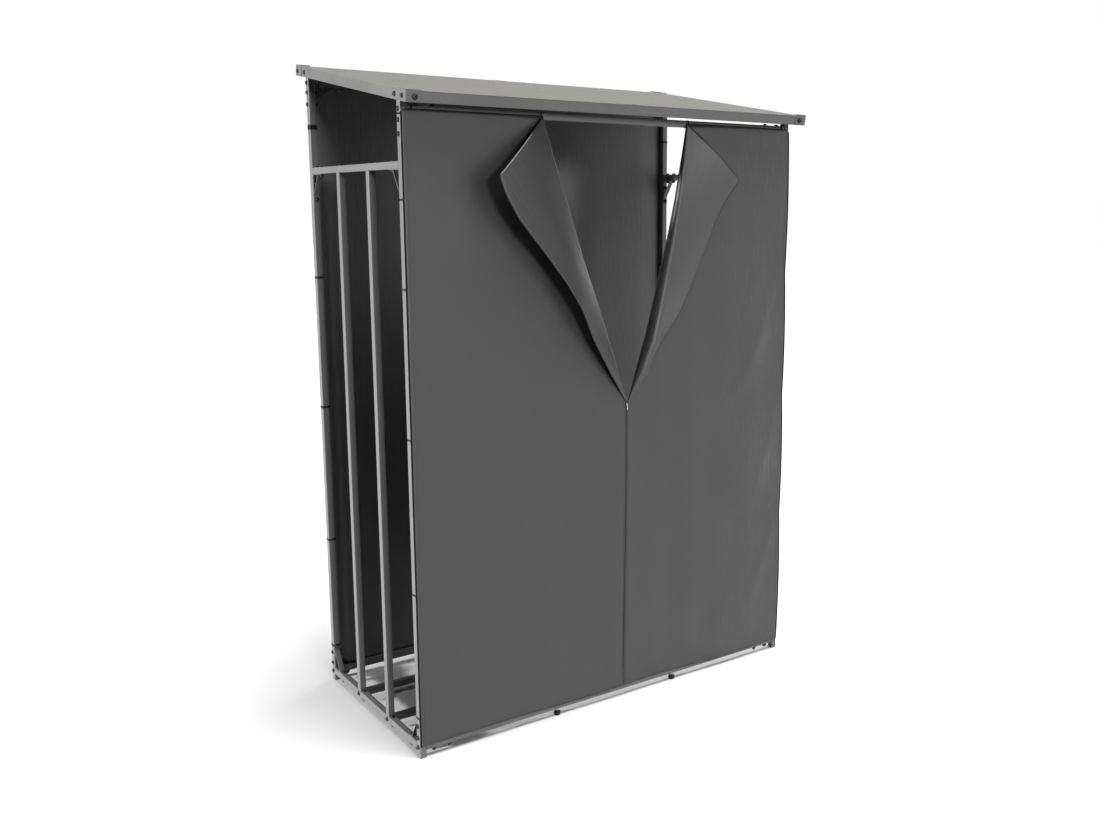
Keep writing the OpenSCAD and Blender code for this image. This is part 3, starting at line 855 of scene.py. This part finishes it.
def edge_tapes():
    for sign, side in SIDES:
        z = np.linspace(TAPE_TOP, TAPE_HEM, SIDE_TAPE_POINTS)
        path = front_point(outer_edge(z, sign) - sign * SIDE_TAPE_IN, z)
        ribbon(f"front_{side}_edge_tape", path, (1.0, 0.0, 0.0), SIDE_TAPE_HALF)
        start = FLAPS[sign]["fold"][0][0] + sign * TOP_TAPE_START
        end = float(outer_edge(TAPE_TOP, sign)) - sign * TOP_TAPE_END
        x = np.linspace(start, end, TOP_TAPE_POINTS)
        path = front_point(x, np.full(TOP_TAPE_POINTS, TOP - TOP_TAPE_DROP))
        ribbon(f"front_{side}_top_tape", path, (0.0, 0.0, 1.0), TOP_TAPE_HALF)


def seams():
    """Lines of surface points that the stitches follow."""
    for sign, _ in SIDES:
        z = np.linspace(SEAM_TOP, SEAM_HEM, SIDE_SEAM_POINTS)
        yield front_point(outer_edge(z, sign) - sign * SEAM_IN, z)
        beside_zip = ZIP_X + sign * ZIP_SEAM
        z = np.linspace(SEAM_HEM, SEAM_TIP, SEAM_POINTS)
        yield front_point(np.full(SEAM_POINTS, beside_zip), z)
        x = np.linspace(beside_zip, sign * HEM_SEAM_END, SEAM_POINTS)
        yield front_point(x, np.full(SEAM_POINTS, HEM + SEAM_IN))
        x = np.linspace(sign * TOP_SEAM_START, sign * TOP_SEAM_END, TOP_SEAM_POINTS)
        yield front_point(x, np.full(TOP_SEAM_POINTS, TOP - SEAM_IN))


def stitching():
    """Lock stitches as short raised threads."""
    threads = Parts()
    for seam in seams():
        line = seam + STITCH_UP
        run = run_of(line)
        at = np.arange(SEAM_MARGIN, run[-1] - SEAM_MARGIN, STITCH_STEP)
        points = points_at(line, run, at)
        for point, ahead in zip(points, points_at(line, run, at + 0.5) - points):
            threads.add(*placed(STITCH, point, ahead))
    threads.piece("front_stitching", THREAD, "cover_cloth", split=None)


edge_tapes()
stitching()


# Ties round the posts and rails

STRAP_IN, STRAP_THICK, STRAP_CORNER, STRAP_EDGE = 10.25, 0.9, 2.4, 0.25
STRAP_STEPS = 6                                  # points round a corner of a strap
FRONT_STRAP, FRONT_RAIL_STRAP, BACK_RAIL_STRAP = 5.0, 4.6, 5.0    # widths
TIE_RAIL_X = (653.0, 262.0)                      # ties round the top rails
FRONT_TIE_Z, BACK_TIE_Z = 1783.0, 1902.0
BACK_TIES = (1772.0, 1319.0, 912.0, 478.0, 120.0)
STRAP_WIDE, STRAP_BACK = 15.0, 6.5               # the back cover's upper left tie is a wide one
BUCKLE_X, BUCKLE_Y, RAIL_BUCKLE_Y = 662.5, 316.0, 307.5
BUCKLE_SHARE = 0.7                               # height of a buckle by the width of a wide strap
KNOT_X, KNOT_Y = 683.9, -331.4
BUCKLE, RAIL_BUCKLE, KNOT = (4.4, 7.0, 7.0), (7.0, 4.4, 7.0), (3.0, 2.6, 9.5)
AXES = {"x": ((0, 1, 0), (0, 0, 1), (1, 0, 0)), "z": ((1, 0, 0), (0, 1, 0), (0, 0, 1))}


def band(centre, axis, width):
    """A strap wrapped tight round a square tube; axis is the tube's direction."""
    across, over, length = np.array(AXES[axis], float)
    half, outer = width / 2, STRAP_CORNER + STRAP_THICK
    flat = half - STRAP_EDGE
    profile = [(STRAP_CORNER, -half), (outer, -flat), (outer, flat), (STRAP_CORNER, half)]
    verts, n = [], len(profile)
    for cx, cy, start in ((1, 1, 0), (-1, 1, 90), (-1, -1, 180), (1, -1, 270)):
        corner = (STRAP_IN - STRAP_CORNER) * (cx * across + cy * over)
        for a in np.radians(np.linspace(start, start + 90, STRAP_STEPS)):
            out = math.cos(a) * across + math.sin(a) * over
            verts += [np.asarray(centre, float) + corner + out * r + length * h for r, h in profile]
    faces, count = [], len(verts) // n
    for i in range(count):
        k = (i + 1) % count
        for j in range(n):
            m = (j + 1) % n
            faces.append((i * n + j, k * n + j, k * n + m, i * n + m))
    return np.array(verts), faces


def block(centre, size, bevel=0.6):
    """A small moulded block with chamfered edges."""
    hx, hy, hz = (s / 2 for s in size)
    verts = []
    for z, inset in ((-hz, bevel), (-hz + bevel, 0), (hz - bevel, 0), (hz, bevel)):
        x, y = hx - inset, hy - inset
        near, far = x - bevel, y - bevel
        verts += [(near, -y, z), (x, -far, z), (x, far, z), (near, y, z),
                  (-near, y, z), (-x, far, z), (-x, -far, z), (-near, -y, z)]
    return np.array(verts) + np.asarray(centre, float), ring_faces(4, 8)


def ties():
    front, rear = Parts(), Parts()
    for sign, _ in SIDES:
        for z in LEFT_TIES if sign < 0 else RIGHT_TIES:
            front.add(*band((sign * POST_X, -POST_Y, z), "z", FRONT_STRAP))
            front.add(*block((sign * BUCKLE_X, -BUCKLE_Y, z), BUCKLE))
            front.add(*block((sign * KNOT_X, KNOT_Y, z), KNOT))
        for z in BACK_TIES:
            width = STRAP_WIDE if sign < 0 and z == max(BACK_TIES) else STRAP_BACK
            rear.add(*band((sign * POST_X, POST_Y, z), "z", width))
            buckle = BUCKLE[:2] + (max(BUCKLE[2], width * BUCKLE_SHARE),)
            rear.add(*block((sign * BUCKLE_X, BUCKLE_Y, z), buckle))
        for x in TIE_RAIL_X:
            front.add(*band((sign * x, -POST_Y, FRONT_TIE_Z), "x", FRONT_RAIL_STRAP))
            front.add(*block((sign * x, -RAIL_BUCKLE_Y, FRONT_TIE_Z), RAIL_BUCKLE))
            rear.add(*band((sign * x, POST_Y, BACK_TIE_Z), "x", BACK_RAIL_STRAP))
            rear.add(*block((sign * x, RAIL_BUCKLE_Y, BACK_TIE_Z), RAIL_BUCKLE))
    front.piece("front_cover_ties", NYLON, "cover_cloth")
    rear.piece("back_cover_ties", NYLON, "cover_cloth")


ties()


# Bolts and nuts

BOLT_HEAD = revolve([(6.9, -0.3, 0), (6.9, 0.8, 0), (6.5, 1.1, 0), (6.0, 1.1, 0), (5.9, 2.0, 0),
                     (5.4, 3.3, 0), (4.5, 4.3, 0), (3.3, 4.9, 0), (2.5, 5.05, 0),
                     (2.05, 4.95, 6), (2.0, 3.2, 6), (0.6, 3.0, 6)])
CAP_NUT = revolve([(7.0, -0.3, 0), (7.0, 0.8, 0), (6.7, 1.1, 0), (4.9, 1.1, 6), (5.0, 1.5, 6),
                   (5.0, 4.6, 6), (4.75, 5.1, 6), (4.55, 5.3, 0), (4.4, 6.6, 0), (3.8, 7.9, 0),
                   (2.7, 8.9, 0), (1.3, 9.4, 0), (0.3, 9.5, 0)])
GUSSET = 2.0                                     # thickness of a gusset's flat leg
SHORT_LEG, LONG_LEG = (18.0, 53.0), (27.0, 76.0)    # bolts along a gusset's legs, from its corner
BAR_BOLT = 18.0                                  # from a slat's middle to the bolt of the floor bar
LOW_NUT, CORNER_HEAD = 1.25, 1.2                 # sizes of the larger nuts and heads
UP, DOWN = (0, 0, 1), (0, 0, -1)
ROOF_PITCH = math.radians(10)
ROOF_EDGE = np.array((0.0, -394.0, 1822.0))      # middle of the roof's upper front edge
ROOF_RUN = 766.0 / math.cos(ROOF_PITCH)
ROOF_SIDE, BRACKET = 694.7, 1.5                  # the side trim's face and the bracket's thickness
TRIM_BOLTS = (                                   # place along the slope, plate under the head
    (20.0, BRACKET), (68.0, 0.0), (ROOF_RUN - 14.0, BRACKET), (ROOF_RUN - 66.0, 0.0))
TRIM_BOLT_DROP, CORNER_BOLT_DROP, CORNER_BOLT_X = 15.0, 14.5, 671.0


def post_bolts(heads, nuts, rail_heads, sx):
    """Bolts of the posts and of the gussets at the front and the back."""
    for y, low, top in ((-POST_Y, FRONT_RAIL_LOW, FRONT_RAIL_TOP), (POST_Y, BACK_RAIL_LOW, BACK_RAIL_TOP)):
        legs = [RAIL_TOP + d for d in SHORT_LEG] + [low - d for d in SHORT_LEG]
        for z in [(RAIL_LOW + RAIL_TOP) / 2, (low + top) / 2] + legs:
            heads.add(*placed(BOLT_HEAD, (sx * SIDE, y, z), (sx, 0, 0)))
        for z in legs:
            nuts.add(*placed(CAP_NUT, (sx * (INNER_X - GUSSET), y, z), (-sx, 0, 0)))
        for x in (sx * (INNER_X - d) for d in LONG_LEG):
            nuts.add(*placed(CAP_NUT, (x, y, RAIL_LOW), DOWN, LOW_NUT))
            rail_heads.add(*placed(BOLT_HEAD, (x, y, RAIL_TOP + GUSSET), UP))
            rail_heads.add(*placed(BOLT_HEAD, (x, y, top), UP))
            nuts.add(*placed(CAP_NUT, (x, y, low - GUSSET), DOWN))


def side_bolts(heads, nuts, rail_heads, sx):
    """Bolts of the side rails, the slats, the floor bars and the side gussets."""
    x = sx * POST_X
    for sy in (-1, 1):
        for y in (sy * (INNER_Y - d) for d in SHORT_LEG):
            nuts.add(*placed(CAP_NUT, (x, y, RAIL_LOW), DOWN, LOW_NUT))
            rail_heads.add(*placed(BOLT_HEAD, (x, y, RAIL_TOP + GUSSET), UP))
            rail_heads.add(*placed(BOLT_HEAD, (x, y, MID_TOP), UP))
            nuts.add(*placed(CAP_NUT, (x, y, MID_LOW - GUSSET), DOWN))
        for z in [RAIL_TOP + d for d in LONG_LEG] + [MID_LOW - d for d in LONG_LEG]:
            nuts.add(*placed(CAP_NUT, (x, sy * (INNER_Y - GUSSET), z), (0, -sy, 0)))
        y = sy * SLAT_Y
        heads.add(*placed(BOLT_HEAD, (sx * SIDE, y, (RAIL_LOW + RAIL_TOP) / 2), (sx, 0, 0)))
        nuts.add(*placed(CAP_NUT, (x, y - BAR_BOLT, RAIL_LOW), DOWN, LOW_NUT))
        rail_heads.add(*placed(BOLT_HEAD, (x, y - BAR_BOLT, RAIL_TOP), UP))
        heads.add(*placed(BOLT_HEAD, (x, y, MID_TOP), UP))


def roof_bolts(heads, sx):
    """Bolts along the roof's side trims and at its corners."""
    up = np.array((0, -math.sin(ROOF_PITCH), math.cos(ROOF_PITCH)))
    slope = np.array((0, math.cos(ROOF_PITCH), math.sin(ROOF_PITCH)))
    for run, plate in TRIM_BOLTS:
        at = ROOF_EDGE + slope * run - up * TRIM_BOLT_DROP + (sx * (ROOF_SIDE + plate), 0, 0)
        heads.add(*placed(BOLT_HEAD, at, (sx, 0, 0)))
    for run, sy in ((-BRACKET, -1), (ROOF_RUN + BRACKET, 1)):
        at = ROOF_EDGE + slope * run - up * CORNER_BOLT_DROP + (sx * CORNER_BOLT_X, 0, 0)
        heads.add(*placed(BOLT_HEAD, at, slope * sy, CORNER_HEAD))


def bolts():
    heads = {key: Parts() for key in ("left", "right", "rail", "roof")}
    nuts = {key: Parts() for key in ("left", "right")}
    for sx, side in SIDES:
        post_bolts(heads[side], nuts[side], heads["rail"], sx)
        side_bolts(heads[side], nuts[side], heads["rail"], sx)
        roof_bolts(heads["roof"], sx)
    for key, parts in heads.items():
        parts.piece(f"{key}_bolt_heads", BLACK_BOLT, "frame_steel")
    for key, parts in nuts.items():
        parts.piece(f"{key}_cap_nuts", BLACK_BOLT, "frame_steel")


bolts()


# Threaded studs and nuts of the centre feet

FOOT_X = 223.0
STUD_LOW, STUD_PITCH, STUD_TURNS = 13.0, 0.8, 11
STUD_ROOT, STUD_CREST, STUD_SEG = 4.05, 4.45, 20
JAM_NUT = [(5.9, 17.6, 6), (6.4, 18.1, 6), (6.4, 21.4, 6), (6.1, 21.9, 6)]


def studs():
    thread, nut = Parts(), Parts()
    rings = []
    for z in STUD_LOW + np.arange(STUD_TURNS) * STUD_PITCH:
        rings += [(STUD_ROOT, z, 0), (STUD_CREST, z + STUD_PITCH / 2, 0)]
    stud = revolve(rings, STUD_SEG)
    jam_nut = revolve(JAM_NUT)
    for y in (-POST_Y, POST_Y):
        for x in (-FOOT_X, FOOT_X):
            thread.add(stud[0] + (x, y, 0), stud[1])
            nut.add(jam_nut[0] + (x, y, 0), jam_nut[1])
    thread.piece("foot_studs", ZINC, "foot_rubber")
    nut.piece("foot_nuts", ZINC, "foot_rubber")


studs()


# Floor and light

FLOOR_HALF, FLOOR_TONE = 40.0, 0.86               # metres, and a pale grey
ROOM_GLOW = 0.006
LIGHTS = (                                       # name, azimuth, elevation, strength, angle
    ("top", 50, 72, 3.4, 40),
    ("top_front", 0, 80, 0.6, 30),
    ("left", 267, 12, 6.0, 3),
    ("front", 36, 8, 0.75, 50),
    ("key", 355, 9, 1.2, 10),
    ("right", 120, 10, 0.7, 15),
)


def stage():
    mesh = bpy.data.meshes.new("floor")
    s = FLOOR_HALF
    mesh.from_pydata([(-s, -s, 0), (s, -s, 0), (s, s, 0), (-s, s, 0)], [], [(0, 1, 2, 3)])
    mesh.materials.append(Mat("floor", Roughness=0.9, Base_Color=grey(FLOOR_TONE)).mat)
    floor = bpy.data.objects.new("floor", mesh)
    scene.collection.objects.link(floor)
    floor.visible_diffuse = False


def sun(name, azimuth, elevation, strength, angle):
    """Soft parallel light; azimuth 0 comes from the front (-Y) and 90 from the right (+X)."""
    light = bpy.data.lights.new(name, "SUN")
    light.energy = strength
    light.angle = math.radians(angle)
    obj = bpy.data.objects.new(name, light)
    scene.collection.objects.link(obj)
    a, e = math.radians(azimuth), math.radians(elevation)
    aim(obj, Vector((-math.sin(a) * math.cos(e), math.cos(a) * math.cos(e), -math.sin(e))))


def studio():
    """A white backdrop that gives hardly any light itself, and the suns."""
    room = bpy.data.worlds.new("studio")
    scene.world = room
    room.use_nodes = True
    tree = room.node_tree
    glow = fill(tree.nodes["Background"], Color=grey(1.0), Strength=ROOM_GLOW)
    seen = fill(tree.nodes.new("ShaderNodeBackground"), Color=grey(1.0))
    path = tree.nodes.new("ShaderNodeLightPath")
    mix = tree.nodes.new("ShaderNodeMixShader")
    tree.links.new(path.outputs["Is Camera Ray"], mix.inputs[0])
    tree.links.new(glow.outputs[0], mix.inputs[1])
    tree.links.new(seen.outputs[0], mix.inputs[2])
    tree.links.new(mix.outputs[0], tree.nodes["World Output"].inputs["Surface"])
    for light in LIGHTS:
        sun(*light)


stage()
studio()
scene.view_settings.view_transform = "Standard"
